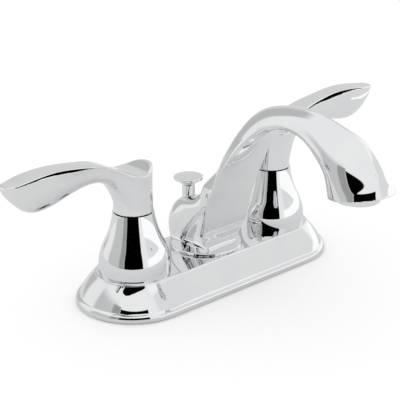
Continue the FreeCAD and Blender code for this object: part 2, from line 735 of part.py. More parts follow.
def aerator():
    y = -d.spout_reach
    inner = d.aerator_radius - d.aerator_wall
    thread_inner = d.aerator_thread_radius - d.aerator_wall
    turned("aerator_shell", [
        (inner - d.aerator_wall, d.aerator_drop),
        (d.aerator_radius, d.aerator_drop),
        (d.aerator_radius, aerator_shoulder),
        (d.aerator_thread_radius, aerator_shoulder),
        (d.aerator_thread_radius, aerator_shoulder + d.aerator_thread_length),
        (thread_inner, aerator_shoulder + d.aerator_thread_length),
        (thread_inner, d.aerator_drop + d.aerator_lip),
        (inner - d.aerator_wall, d.aerator_drop + d.aerator_lip),
    ], y=y)
    insert_radius = thread_inner - d.slip
    insert_z = d.aerator_drop + d.aerator_lip
    blank = cylinder("aerator_insert_blank", insert_radius, d.aerator_height, y=y, z=insert_z)
    pocket = cylinder("aerator_insert_pocket", insert_radius - d.aerator_insert_wall, d.aerator_height,
                      y=y, z=insert_z + d.aerator_wall)
    jets = []
    for index in range(AERATOR_JETS):
        angle = index * 2 * math.pi / AERATOR_JETS
        jets.append(cylinder(f"aerator_jet_{index}", d.aerator_jet_radius, d.aerator_height,
                             x=d.aerator_jet_circle * math.cos(angle),
                             y=y + d.aerator_jet_circle * math.sin(angle), z=insert_z - d.aerator_wall))
    cut("aerator_insert", blank, pocket, *jets)
    washer_z = aerator_shoulder + d.aerator_thread_length
    turned("aerator_washer", [
        (d.waterway_radius + d.gap, washer_z),
        (d.aerator_thread_radius, washer_z),
        (d.aerator_thread_radius, aerator_seat),
        (d.waterway_radius + d.gap, aerator_seat),
    ], y=y)


# Lift rod with its knob, and the guide bush in the boss
def lift_rod():
    crown_round = (d.knob_radius * d.knob_radius / d.knob_crown + d.knob_crown) / 2
    turned("lift_knob", [
        (d.rod_radius, knob_neck_z),
        (d.knob_neck_radius, knob_neck_z),
        (d.knob_neck_radius, knob_rim_z - d.knob_flare),
        (d.knob_radius, knob_rim_z, d.knob_radius, -1),
        (d.knob_radius, knob_rim_z + d.knob_rim),
        (ZERO, d.knob_top, crown_round, 1),
        (ZERO, knob_rim_z),
        (d.rod_radius, knob_rim_z),
    ], y=d.rod_offset)
    cylinder("lift_rod", d.rod_radius, d.rod_length, y=d.rod_offset, z=knob_rim_z - d.rod_length)
    guide_top = knob_neck_z - d.gap
    turned("rod_guide", [
        (d.rod_radius + d.slip, guide_top - d.guide_length),
        (d.knob_neck_radius + d.gap - d.slip, guide_top - d.guide_length),
        (d.knob_neck_radius + d.gap - d.slip, guide_top),
        (d.rod_radius + d.slip, guide_top),
    ], y=d.rod_offset)


# Levers: a hub on the stem and a blade that swells towards its end. Each station gives the
# distance from the valve axis as a share of the length, the height of the top edge above the
# hub as a share of the rise, the depth of the belly as a share of the full depth, and the
# widths of the top and of the belly as shares of the full width.
LEVER_STATIONS = [
    (0.030, 0.039, 1.158, 0.966, 0.787),
    (0.090, 0.101, 1.026, 1.000, 0.831),
    (0.150, 0.233, 0.763, 0.978, 0.831),
    (0.210, 0.426, 0.558, 0.888, 0.809),
    (0.310, 0.690, 0.516, 0.753, 0.753),
    (0.450, 0.891, 0.674, 0.618, 0.730),
    (0.600, 1.000, 0.911, 0.596, 0.798),
    (0.750, 0.984, 1.000, 0.640, 0.854),
    (0.860, 0.907, 0.821, 0.584, 0.787),
    (0.945, 0.876, 0.453, 0.382, 0.517),
    (0.985, 0.910, 0.230, 0.170, 0.220),
    (1.000, 0.940, 0.110, 0.050, 0.060),
]
# The hollow top edge from the hub's inner rim to the axis, as shares of the length and rise
HUB_TOP = [(-0.135, 0.302), (-0.085, 0.147), (-0.045, 0.047), (0.000, 0.000), (0.050, 0.008)]
# The flank from its widest point down to the belly, as shares of the depth and half width
FLANK = [(0.35, 1.02), (0.68, 0.86), (0.93, 0.45), (1.00, 0.00)]
# How far the blank stands above the top edge before it is trimmed, as a share of the depth
TRIM_SPARE = 0.25


def lever_height(share):
    return hub_z.number + d.hub_height.number + share * d.lever_rise.number


def lever_section(station):
    """Closed wire of the flat top and the two rounded sides that meet at the belly."""
    x = station[0] * d.lever_length.number
    top = lever_height(station[1])
    depth = station[2] * d.lever_depth.number
    half_top, half_belly = (share * d.lever_width.number / 2 for share in station[3:])

    def flank(sign):
        places = [(half_top, top + depth * TRIM_SPARE), (half_top, top)]
        places += [(half_belly * across, top - depth * down) for down, across in FLANK]
        return [Vector(x, sign * y, z) for y, z in places]

    right = flank(1)
    left = flank(-1)
    cap = Part.makeLine(left[0], right[0])
    return Part.Wire([cap, Part.makeLine(right[0], right[1]), spline_edge(right[1:]),
                      spline_edge(left[1:][::-1]), Part.makeLine(left[1], left[0])])


def lever_blank():
    """The blade and hub before boring, for a lever that points along +X from the origin."""
    blade = Part.makeLoft([lever_section(station) for station in LEVER_STATIONS], True, False)
    radius, waist = d.hub_radius.number, d.hub_waist.number
    low = hub_z.number
    high = lever_height(HUB_TOP[0][1]) + d.lever_depth.number * TRIM_SPARE
    middle = (low + high) / 2
    side = Part.Arc(Vector(radius, 0, low), Vector(radius - waist, 0, middle), Vector(radius, 0, high)).toShape()
    outline = Part.Wire([Part.makeLine(Vector(0, 0, high), Vector(0, 0, low)),
                         Part.makeLine(Vector(0, 0, low), Vector(radius, 0, low)), side,
                         Part.makeLine(Vector(radius, 0, high), Vector(0, 0, high))])
    hub = Part.Face(outline).revolve(Vector(0, 0, 0), Vector(0, 0, 1), 360)
    return blade.fuse(hub)


def lever_trim():
    """Everything above the flowing top edge, from the hub's inner rim to the tip."""
    width = d.lever_width.number
    edge = [*HUB_TOP, *(station[:2] for station in LEVER_STATIONS[2:])]
    curve = [Vector(share * d.lever_length.number, -width, lever_height(height)) for share, height in edge]
    curve[0].x = -width
    curve[-1].x = d.lever_length.number + width / 4
    ceiling = lever_height(1) + width
    first, last = curve[0], curve[-1]
    outline = Part.Wire([spline_edge(curve), Part.makeLine(last, Vector(last.x, -width, ceiling)),
                         Part.makeLine(Vector(last.x, -width, ceiling), Vector(first.x, -width, ceiling)),
                         Part.makeLine(Vector(first.x, -width, ceiling), first)])
    return Part.Face(outline).extrude(Vector(0, width * 2, 0))


def lever(name, side):
    x = valve_x * side
    turn = Placement(Vector(x.number, 0, 0), Rotation(Vector(0, 0, 1), 0 if side > 0 else 180))
    blank = feature(f"{name}_lever_blank", lever_blank())
    trim = feature(f"{name}_lever_trim", lever_trim())
    for form in (blank, trim):
        form.Placement = turn
    well = cylinder(f"{name}_hub_well", d.hub_bore_radius, d.hub_bore_depth, x=x, z=hub_z)
    socket = cylinder(f"{name}_hub_socket", d.stem_spline_radius + d.slip, stem_top + d.gap - hub_z, x=x, z=hub_z)
    screw_hole = cylinder(f"{name}_screw_hole", d.set_screw_radius + d.slip, d.hub_radius * 1.2, x=x,
                          z=d.set_screw_height, turn=ALONG_Y)
    cut(f"{name}_lever", blank, trim, well, socket, screw_hole)
    screw_y = d.stem_spline_radius + d.slip
    screw = cylinder(f"{name}_set_screw_blank", d.set_screw_radius, d.set_screw_length, x=x, y=screw_y,
                     z=d.set_screw_height, turn=ALONG_Y)
    key = cylinder(f"{name}_set_screw_key", d.set_screw_socket_radius, d.set_screw_length, x=x,
                   y=screw_y + d.set_screw_length / 2, z=d.set_screw_height, turn=ALONG_Y)
    cut(f"{name}_set_screw", screw, key)


deck_cover()
deck_gasket()
waterway_tee()
spout_nipple()
spout()
aerator()
lift_rod()
for side_name, side_sign in SIDES:
    bell(side_name, valve_x * side_sign)
    valve_body(side_name, side_sign)
    cartridge(side_name, side_sign)
    bonnet_nut(side_name, side_sign)
    under_deck(side_name, side_sign)
    cross_tube(side_name, side_sign)
    lever(side_name, side_sign)
doc.recompute()

NODES = [
    "deck_cover", "deck_gasket", "spout", "spout_nipple", "spout_retaining_nut", "spout_seal", "waterway_tee",
    "aerator_shell", "aerator_insert", "aerator_washer", "lift_knob", "lift_rod", "rod_guide",
]
PAIRED = [
    "bell", "valve_body", "seat_seal", "fixed_disc", "rotating_disc", "cartridge_body", "stem", "bonnet_nut",
    "shank_washer", "mounting_nut", "cross_tube", "lever", "set_screw",
]
for side_name, _ in SIDES:
    NODES.extend(f"{side_name}_{piece}" for piece in PAIRED)

# Check every object before anything is written
for thing in doc.Objects:
    if "Invalid" in thing.State or "Error" in thing.State:
        raise RuntimeError(f"{thing.Name} did not compute: {thing.State}")
for node in NODES:
    shape = doc.getObject(node).Shape
    if shape.isNull() or not shape.isValid() or not shape.Solids:
        raise RuntimeError(f"{node} has no valid solid")

os.makedirs("parts", exist_ok=True)
for node in NODES:
    shape = doc.getObject(node).Shape
    shape.exportStep(f"parts/{node}.step")
    print(f"{node}: {len(shape.Solids)} solid, {shape.Volume / 1000:.2f} cm3, {len(shape.Faces)} faces")
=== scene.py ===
import json
import math

import bpy
import numpy as np
from mathutils import Matrix, Vector


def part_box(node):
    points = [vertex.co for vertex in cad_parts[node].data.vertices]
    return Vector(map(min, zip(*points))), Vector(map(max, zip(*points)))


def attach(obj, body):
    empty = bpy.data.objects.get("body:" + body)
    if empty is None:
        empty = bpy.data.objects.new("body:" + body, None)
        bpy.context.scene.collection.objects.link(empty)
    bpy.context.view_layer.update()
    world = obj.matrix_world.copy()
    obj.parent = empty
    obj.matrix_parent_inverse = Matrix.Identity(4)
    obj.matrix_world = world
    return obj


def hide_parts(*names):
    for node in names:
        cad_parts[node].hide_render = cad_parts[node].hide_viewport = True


# Chrome centerset bathroom faucet: smooth polished skins over the solids, and a white studio.
# Shapes are worked out in millimetres and put in the scene in metres.

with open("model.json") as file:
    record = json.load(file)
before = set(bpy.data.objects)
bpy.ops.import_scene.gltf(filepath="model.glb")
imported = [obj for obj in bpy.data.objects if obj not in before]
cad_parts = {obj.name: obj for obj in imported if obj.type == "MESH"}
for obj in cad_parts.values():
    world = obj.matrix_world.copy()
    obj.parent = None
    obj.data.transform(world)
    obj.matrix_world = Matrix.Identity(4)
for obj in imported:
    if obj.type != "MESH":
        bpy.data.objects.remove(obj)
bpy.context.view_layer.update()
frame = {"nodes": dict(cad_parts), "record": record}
MM = 0.001


def box_mm(node):
    """Lowest and highest corner of a solid, in millimetres."""
    low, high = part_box(node)
    return np.array(low) / MM, np.array(high) / MM


# Sizes read from the solids
cover_low, cover_high = box_mm("deck_cover")
bell_low, bell_high = box_mm("cold_bell")
spout_low, spout_high = box_mm("spout")
shell_low, shell_high = box_mm("aerator_shell")
knob_low, knob_high = box_mm("lift_knob")
rod_low, rod_high = box_mm("lift_rod")
lever_low, lever_high = box_mm("cold_lever")

END_RADIUS = cover_high[1]
DECK_TOP = cover_high[2]
VALVE_X = cover_high[0] - END_RADIUS
BELL_RADIUS = (bell_high[0] - bell_low[0]) / 2
BELL_TOP = bell_high[2]
AERATOR_RADIUS = (shell_high[0] - shell_low[0]) / 2
AERATOR_LOW = shell_low[2]
REACH = -(shell_low[1] + shell_high[1]) / 2
KNOB_RADIUS = (knob_high[0] - knob_low[0]) / 2
KNOB_TOP = knob_high[2]
ROD_Y = (knob_low[1] + knob_high[1]) / 2
ROD_RADIUS = (rod_high[0] - rod_low[0]) / 2
HUB_LOW = lever_low[2]
HUB_RADIUS = VALVE_X - lever_low[0]
LEVER_LENGTH = lever_high[0] - VALVE_X


# Curves
def spline(places, values, wanted):
    """Natural cubic curve through the values at the places, read at the wanted places."""
    places = np.asarray(places, float)
    values = np.asarray(values, float)
    steps = np.diff(places)
    slopes = np.diff(values) / steps
    count = len(places)
    matrix = np.eye(count)
    right = np.zeros(count)
    for index in range(1, count - 1):
        matrix[index, index - 1] = steps[index - 1]
        matrix[index, index] = 2 * (steps[index - 1] + steps[index])
        matrix[index, index + 1] = steps[index]
        right[index] = 6 * (slopes[index] - slopes[index - 1])
    bend = np.linalg.solve(matrix, right)
    wanted = np.clip(wanted, places[0], places[-1])
    at = np.clip(np.searchsorted(places, wanted) - 1, 0, count - 2)
    gap = steps[at]
    after = wanted - places[at]
    before = places[at + 1] - wanted
    curved = (bend[at] * before**3 + bend[at + 1] * after**3) / (6 * gap)
    from_start = (values[at] / gap - bend[at] * gap / 6) * before
    from_end = (values[at + 1] / gap - bend[at + 1] * gap / 6) * after
    return curved + from_start + from_end


def arc(start, end, radius, side, steps=14):
    """Points after start up to end, on the arc whose centre is left (1) or right (-1) of the chord."""
    start, end = np.array(start, float), np.array(end, float)
    along = end - start
    chord = np.hypot(*along)
    rise = math.sqrt(radius * radius - chord * chord / 4)
    centre = (start + end) / 2 + side * rise * np.array([-along[1], along[0]]) / chord
    first = math.atan2(*(start - centre)[::-1])
    sweep = side * 2 * math.asin(chord / 2 / radius)
    return [(centre[0] + radius * math.cos(first + sweep * step / steps),
             centre[1] + radius * math.sin(first + sweep * step / steps)) for step in range(1, steps + 1)]


# Fields: negative inside a form, positive outside, in millimetres
def rounded_min(first, second, width):
    """Union of two fields with a hollow fillet of about this width."""
    blend = np.maximum(width - np.abs(first - second), 0) / width
    return np.minimum(first, second) - blend * blend * width / 4


def rounded_max(first, second, width):
    """Overlap of two fields with its edge eased over about this width."""
    blend = np.maximum(width - np.abs(first - second), 0) / width
    return np.maximum(first, second) + blend * blend * width / 4


def slope_of(field, points, step=0.02):
    """Slope of a field at each point."""
    slope = np.empty_like(points)
    for axis in range(3):
        shift = np.zeros(3)
        shift[axis] = step
        slope[:, axis] = (field(*(points + shift).T) - field(*(points - shift).T)) / (2 * step)
    return slope


def skin(field, low, high, cell):
    """Mesh of a field's zero surface: points, four-sided faces and true normals."""
    axes = [start + cell * np.arange(int((end - start) / cell) + 2) for start, end in zip(low, high)]
    size = tuple(len(axis) for axis in axes)
    value = np.broadcast_to(field(*np.meshgrid(*axes, indexing="ij", sparse=True)), size)
    total = np.zeros((np.prod(size), 3))
    hits = np.zeros(np.prod(size))
    faces = []
    for axis in range(3):
        second, third = (axis + 1) % 3, (axis + 2) % 3
        ahead = np.roll(value, -1, axis)
        crossing = (value < 0) != (ahead < 0)
        crossing[tuple(slice(-1, None) if index == axis else slice(None) for index in range(3))] = False
        where = np.argwhere(crossing)
        here, there = value[crossing], ahead[crossing]
        place = where.astype(float)
        place[:, axis] += here / (here - there)
        around = []
        for down, across in ((1, 1), (0, 1), (0, 0), (1, 0)):
            cell_at = where.copy()
            cell_at[:, second] -= down
            cell_at[:, third] -= across
            flat = np.ravel_multi_index(cell_at.T, size)
            around.append(flat)
            hits += np.bincount(flat, minlength=len(hits))
            for index in range(3):
                total[:, index] += np.bincount(flat, place[:, index], len(hits))
        quads = np.stack(around, 1)
        quads[here >= 0] = quads[here >= 0][:, ::-1]
        faces.append(quads)
    used = np.flatnonzero(hits)
    number = np.full(len(hits), -1)
    number[used] = np.arange(len(used))
    points = total[used] / hits[used, None] * cell + [axis[0] for axis in axes]
    for _ in range(3):
        slope = slope_of(field, points)
        push = field(*points.T) / np.maximum((slope**2).sum(1), 0.1)
        points -= slope * np.clip(push, -cell, cell)[:, None]
    normals = slope_of(field, points)
    normals /= np.maximum(np.linalg.norm(normals, axis=1), 1e-6)[:, None]
    return points, number[np.concatenate(faces)], normals


# Mesh objects
def new_piece(name, points, faces, material, body, node, normals=None, sharp=30):
    """A smooth-shaded mesh piece that rides on a body and stands for a solid."""
    mesh = bpy.data.meshes.new(name)
    places = [tuple(point) for point in np.asarray(points) * MM]
    mesh.from_pydata(places, [], [tuple(face) for face in faces])
    mesh.shade_smooth()
    if normals is None:
        mesh.set_sharp_from_angle(angle=math.radians(sharp))
    else:
        mesh.normals_split_custom_set_from_vertices([tuple(normal) for normal in normals])
    mesh.materials.append(material)
    piece = bpy.data.objects.new(name, mesh)
    bpy.context.scene.collection.objects.link(piece)
    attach(piece, body)
    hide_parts(node)
    return piece


def rings(outline, plan):
    """Points and faces of an outline of (radius, height) carried round a plan, closed both ways."""
    points = []
    for radius, height in outline:
        points.extend((x, y, height) for x, y in plan(radius))
    around = len(points) // len(outline)
    faces = []
    for row in range(len(outline)):
        here = row * around
        there = (row + 1) % len(outline) * around
        for step in range(around):
            follow = (step + 1) % around
            faces.append((here + step, here + follow, there + follow, there + step))
    return points, faces


def circle_plan(x, y, steps):
    """Circles about one centre."""
    angles = np.linspace(0, 2 * math.pi, steps, endpoint=False)
    return lambda radius: [(x + radius * math.cos(angle), y + radius * math.sin(angle)) for angle in angles]


def stadium_plan(half_length, steps):
    """Two half circles joined by straight sides that are divided too."""
    ends = np.linspace(-math.pi / 2, math.pi / 2, steps)
    run = np.linspace(half_length, -half_length, 26)[1:-1]

    def plan(radius):
        right = [(half_length + radius * math.cos(angle), radius * math.sin(angle)) for angle in ends]
        left = [(-x, -y) for x, y in right]
        back = [(x, radius) for x in run]
        return right + back + left + [(-x, -radius) for x in run]

    return plan


# Materials
def node_material(name):
    """A new material with its nodes, links and shader."""
    material = bpy.data.materials.new(name)
    material.use_nodes = True
    tree = material.node_tree
    return material, tree.nodes, tree.links, tree.nodes["Principled BSDF"]


def matt_material(name, shade):
    """A grey material without gloss, for the studio."""
    material, nodes, links, shader = node_material(name)
    shader.inputs["Base Color"].default_value = (shade, shade, shade, 1)
    shader.inputs["Roughness"].default_value = 1.0
    shader.inputs["Specular IOR Level"].default_value = 0.0
    return material, nodes, links, shader


def ripple(nodes, links, shader, scale, strength, distance=0.00002):
    """A faint unevenness of the surface, in the object's own coordinates."""
    place = nodes.new("ShaderNodeTexCoord")
    noise = nodes.new("ShaderNodeTexNoise")
    noise.inputs["Scale"].default_value = scale
    noise.inputs["Detail"].default_value = 3
    bump = nodes.new("ShaderNodeBump")
    bump.inputs["Strength"].default_value = strength
    bump.inputs["Distance"].default_value = distance
    links.new(place.outputs["Object"], noise.inputs["Vector"])
    links.new(noise.outputs["Fac"], bump.inputs["Height"])
    links.new(bump.outputs["Normal"], shader.inputs["Normal"])
    return noise


def shaded(nodes, links, source, shader, socket, low, high):
    """Let a noise move a socket between two numbers."""
    span = nodes.new("ShaderNodeMapRange")
    span.inputs["To Min"].default_value = low
    span.inputs["To Max"].default_value = high
    links.new(source.outputs["Fac"], span.inputs["Value"])
    links.new(span.outputs["Result"], shader.inputs[socket])


def coloured(nodes, links, source, shader, dark, light):
    """Let a noise move the colour between two."""
    ramp = nodes.new("ShaderNodeValToRGB")
    ramp.color_ramp.elements[0].position = 0.35
    ramp.color_ramp.elements[0].color = (*dark, 1)
    ramp.color_ramp.elements[1].position = 0.65
    ramp.color_ramp.elements[1].color = (*light, 1)
    links.new(source.outputs["Fac"], ramp.inputs["Fac"])
    links.new(ramp.outputs["Color"], shader.inputs["Base Color"])


def make_finish(name, dark, light, metallic, rough, scale, bump):
    """A finish with slightly uneven colour, gloss and surface."""
    material, nodes, links, shader = node_material(name)
    shader.inputs["Metallic"].default_value = metallic
    noise = ripple(nodes, links, shader, scale, bump)
    coloured(nodes, links, noise, shader, dark, light)
    shaded(nodes, links, noise, shader, "Roughness", *rough)
    return material


# Each slot's finish: name, darker and lighter colour, metallic, roughness from and to, and the
# scale and strength of its unevenness
SLOTS = {
    "chrome": ("polished_chrome", (0.80, 0.81, 0.82), (0.83, 0.835, 0.84), 1.0, (0.015, 0.035), 60, 0.02),
    "brass": ("cast_brass", (0.60, 0.42, 0.17), (0.74, 0.54, 0.25), 1.0, (0.24, 0.40), 900, 0.35),
    "copper": ("drawn_copper", (0.62, 0.27, 0.15), (0.80, 0.40, 0.24), 1.0, (0.22, 0.36), 500, 0.25),
    "steel": ("plain_steel", (0.42, 0.43, 0.44), (0.58, 0.59, 0.60), 1.0, (0.25, 0.42), 700, 0.3),
    "rubber": ("black_rubber", (0.012, 0.012, 0.013), (0.03, 0.03, 0.032), 0.0, (0.55, 0.75), 1500, 0.5),
    "acetal": ("white_acetal", (0.72, 0.72, 0.70), (0.82, 0.82, 0.80), 0.0, (0.32, 0.45), 900, 0.2),
    "ceramic": ("white_ceramic", (0.84, 0.83, 0.79), (0.92, 0.91, 0.88), 0.0, (0.10, 0.20), 1200, 0.1),
}
FINISHES = {slot: make_finish(*values) for slot, values in SLOTS.items()}
CHROME = FINISHES["chrome"]


def dress_solids():
    """Give each solid that stays in view the finish of its slot."""
    slots = {}
    for entry in frame["record"]["materials"]:
        for node in entry.get("nodes", []):
            slots[node] = entry["slot"]
    for name, solid in frame["nodes"].items():
        finish = FINISHES[slots.get(name, "chrome")]
        solid.data.materials.clear()
        solid.data.materials.append(finish)
        for face in solid.data.polygons:
            face.material_index = 0


# Deck cover
BEAD_RADIUS, BEAD_HEIGHT, RIM_HEIGHT, RIM_LOW = END_RADIUS - 2.0, 5.2, 2.4, cover_low[2]
PLATEAU_RADIUS, EDGE_DROP, COVER_WALL = END_RADIUS - 10.4, 0.9, 2.2
BEAD_ROUND, SLOPE_ROUND, COVER_MIDDLE = 3.6, 46.0, 0.05


def deck_cover():
    edge = (PLATEAU_RADIUS, DECK_TOP - EDGE_DROP)
    flat = (PLATEAU_RADIUS - EDGE_DROP, DECK_TOP)
    outline = [(END_RADIUS, RIM_LOW), (END_RADIUS, RIM_HEIGHT)]
    outline += arc((END_RADIUS, RIM_HEIGHT), (BEAD_RADIUS, BEAD_HEIGHT), BEAD_ROUND, 1, 8)
    outline += arc((BEAD_RADIUS, BEAD_HEIGHT), edge, SLOPE_ROUND, 1, 16)
    outline += arc(edge, flat, EDGE_DROP, 1, 5)
    outline += [(COVER_MIDDLE, DECK_TOP), (COVER_MIDDLE, DECK_TOP - COVER_WALL),
                (PLATEAU_RADIUS - COVER_WALL / 2, DECK_TOP - COVER_WALL),
                (BEAD_RADIUS - COVER_WALL, BEAD_HEIGHT), (END_RADIUS - COVER_WALL, RIM_HEIGHT),
                (END_RADIUS - COVER_WALL, RIM_LOW)]
    points, faces = rings(outline, stadium_plan(VALVE_X, 72))
    new_piece("deck_cover_skin", points, faces, CHROME, "root", "deck_cover")


# Bells: a short upright skirt, a full curve to the waist and a hollow one to the neck
BELL_WALL, BELL_NECK = 1.5, 10.9
SKIRT_TOP, WAIST_RADIUS, WAIST_TOP = DECK_TOP + 2.6, 16.0, DECK_TOP + 15.8
FULL_ROUND, HOLLOW_ROUND = 29.6, 51.8


def bell(side, x):
    skirt = (BELL_RADIUS, SKIRT_TOP)
    waist = (WAIST_RADIUS, WAIST_TOP)
    inner_top = (BELL_NECK - BELL_WALL, BELL_TOP)
    inner_waist = (WAIST_RADIUS - BELL_WALL, WAIST_TOP)
    outline = [(BELL_RADIUS, DECK_TOP), skirt]
    outline += arc(skirt, waist, FULL_ROUND, 1, 18)
    outline += arc(waist, (BELL_NECK, BELL_TOP), HOLLOW_ROUND, -1, 18)
    outline += [inner_top]
    outline += arc(inner_top, inner_waist, HOLLOW_ROUND + BELL_WALL, 1, 10)
    outline += [(BELL_RADIUS - BELL_WALL, DECK_TOP)]
    points, faces = rings(outline, circle_plan(x, 0, 144))
    new_piece(f"{side}_bell_skin", points, faces, CHROME, "root", f"{side}_bell")


# Spout: sections along the inner face of the arch, close to the solid's: distance from the deck's
# centre as a share of the reach, height as a share of the rise, widths of the inner face and of
# the back, depths of the shoulder and of the ridge, bulges of the inner face and of the sides
RISE, SPOUT_WIDTH, SPOUT_THICKNESS = 81.6, 34.0, 12.5
SPOUT_STATIONS = np.array([
    (-0.123, -0.060, 0.10, 0.61, 2.12, 2.22, 0.00, 0.00),
    (-0.122, 0.000, 0.30, 0.61, 2.12, 2.22, 0.00, 0.00),
    (-0.1215, 0.023, 0.51, 0.61, 1.98, 2.08, 0.00, -0.08),
    (-0.1220, 0.052, 0.68, 0.61, 1.80, 1.92, 0.00, -0.18),
    (-0.1245, 0.090, 0.815, 0.61, 1.62, 1.75, 0.00, -0.28),
    (-0.131, 0.135, 0.92, 0.61, 1.45, 1.60, 0.00, -0.36),
    (-0.145, 0.191, 0.965, 0.61, 1.26, 1.45, 0.00, -0.34),
    (-0.173, 0.326, 1.00, 0.60, 0.88, 1.18, 0.00, -0.14),
    (-0.215, 0.485, 0.98, 0.57, 0.72, 1.06, 0.00, 0.08),
    (-0.276, 0.651, 0.95, 0.54, 0.71, 1.04, 0.00, 0.10),
    (-0.360, 0.810, 0.78, 0.51, 0.71, 1.01, 0.00, 0.08),
    (-0.463, 0.936, 0.61, 0.48, 0.67, 0.96, 0.00, 0.08),
    (-0.584, 1.000, 0.54, 0.46, 0.60, 0.86, 0.04, 0.10),
    (-0.720, 0.995, 0.58, 0.50, 0.64, 1.00, 0.12, 0.14),
    (-0.827, 0.919, 0.66, 0.66, 0.80, 1.36, 0.22, 0.18),
    (-0.893, 0.828, 0.72, 0.80, 1.06, 1.84, 0.32, 0.20),
    (-0.925, 0.713, 0.765, 0.84, 1.34, 2.08, 0.40, 0.20),
    (-0.947, 0.640, 0.785, 0.85, 1.42, 2.10, 0.43, 0.20),
])
OUTLET_TILT = 0.17
LIP_HEIGHT = DECK_TOP + RISE * 0.713
LEVEL_TO, TURNED_FROM = DECK_TOP + 22.0, DECK_TOP + 34.0
FOOT_RADIUS, FOOT_LIP, SKIRT_RADIUS, SKIRT_RISE = 20.2, 1.8, 13.4, 0.4
ROD_BORE = 3.9
# How far the inner face's edges and the back's corners are eased, and how much less where the
# inner face bulges
FACE_EDGE, BACK_EDGE, BULGE_SHARE = 1.2, 5.0, 0.55
# How far past its corners a section's sides, back and inner face keep their curves, in shares
SIDE_FROM, SIDE_TO, BACK_TO, FACE_TO = -0.2, 1.6, 1.3, -0.5
# Heights between which the hood's top melts into the arch, and the width of the blend
MELT_FROM, MELT_FULL, MELT_LESS, MELT_END = (DECK_TOP + rise for rise in (28.0, 38.0, 38.0, 50.0))
MELT_LOW, MELT_HIGH = 0.8, 8.0
FOOT_BLEND, RECESS_DEPTH, RECESS_GAP = 2.5, 4.0, 0.1
# How far the casting's other edges are eased
HOOD_EDGE, FOOT_EDGE, BORE_EDGE, LIP_EDGE, RECESS_EDGE = 0.5, 0.8, 0.6, 0.7, 0.5

# Hood behind the foot, close to the solid's: height as a share of the boss height, then from the
# rod's axis, as shares of the boss radius, the front, where the sides turn, the back and the
# half width
BOSS_RADIUS, BOSS_HEIGHT = 11.4, 24.6
HOOD_STATIONS = np.array([
    (-0.150, -0.36, -0.24, 0.46, 0.90),
    (0.000, -0.38, -0.20, 0.60, 0.93),
    (0.070, -0.44, -0.10, 0.80, 0.97),
    (0.180, -0.52, -0.03, 0.95, 1.00),
    (0.310, -0.62, 0.00, 1.00, 1.00),
    (0.510, -0.94, -0.12, 0.96, 1.00),
    (0.715, -1.33, -0.52, 0.80, 0.98),
    (0.880, -1.68, -1.04, 0.50, 0.965),
    (0.970, -1.89, -1.35, 0.10, 0.95),
    (1.040, -2.02, -1.66, -0.52, 0.93),
    (1.160, -2.20, -1.94, -0.99, 0.90),
    (1.325, -2.38, -2.20, -1.39, 0.88),
    (1.570, -2.58, -2.42, -1.87, 0.84),
    (1.810, -2.82, -2.70, -2.31, 0.79),
    (2.060, -3.12, -3.04, -2.82, 0.66),
])


def spout_rail():
    """The stations' columns in millimetres, read densely along the inner face."""
    y = SPOUT_STATIONS[:, 0] * REACH
    z = DECK_TOP + SPOUT_STATIONS[:, 1] * RISE
    run = np.concatenate([[0], np.cumsum(np.hypot(np.diff(y), np.diff(z)))])
    dense = np.linspace(0, run[-1], 1200)
    scale = [SPOUT_WIDTH / 2] * 2 + [SPOUT_THICKNESS] * 4
    columns = [spline(run, y, dense), spline(run, z, dense)]
    columns += [spline(run, SPOUT_STATIONS[:, 2 + index] * size, dense) for index, size in enumerate(scale)]
    return np.stack(columns), dense[1]


RAIL, RAIL_STEP = spout_rail()
RAIL_SLOPE = np.gradient(RAIL[:2], axis=1)
RAIL_SLOPE /= np.hypot(*RAIL_SLOPE)
RAIL_BEND = np.gradient(RAIL_SLOPE, axis=1) / RAIL_STEP
RAIL_CREST = int(np.argmax(RAIL[1]))


def read_rail(rows, place):
    """Rows of a rail table at places between its columns."""
    low = np.clip(place, 0, rows.shape[-1] - 1.001).astype(int)
    share = np.clip(place, 0, rows.shape[-1] - 1) - low
    return [row[low] * (1 - share) + row[low + 1] * share for row in rows]


def section_field(across, depth, half_inner, half_back, shoulder, ridge, inner_bulge, side_bulge):
    """Distance from one section of the arch: an inner face, two sides and a rounded back."""
    side = np.clip(depth / shoulder, SIDE_FROM, SIDE_TO)
    lean = (half_back - half_inner + 4 * side_bulge * (1 - 2 * side)) / shoulder
    edge = half_inner + (half_back - half_inner) * side + 4 * side_bulge * side * (1 - side)
    flank = (across - edge) / np.sqrt(1 + lean**2)
    inner = -depth - inner_bulge * np.maximum(1 - (across / half_inner) ** 2, FACE_TO)
    spread = np.minimum(across / half_back, BACK_TO)
    fall = 2 * (ridge - shoulder) * spread / half_back
    back = (depth - shoulder - (ridge - shoulder) * (1 - spread**2)) / np.sqrt(1 + fall**2)
    return rounded_max(rounded_max(flank, inner, FACE_EDGE), back, BACK_EDGE - BULGE_SHARE * inner_bulge)


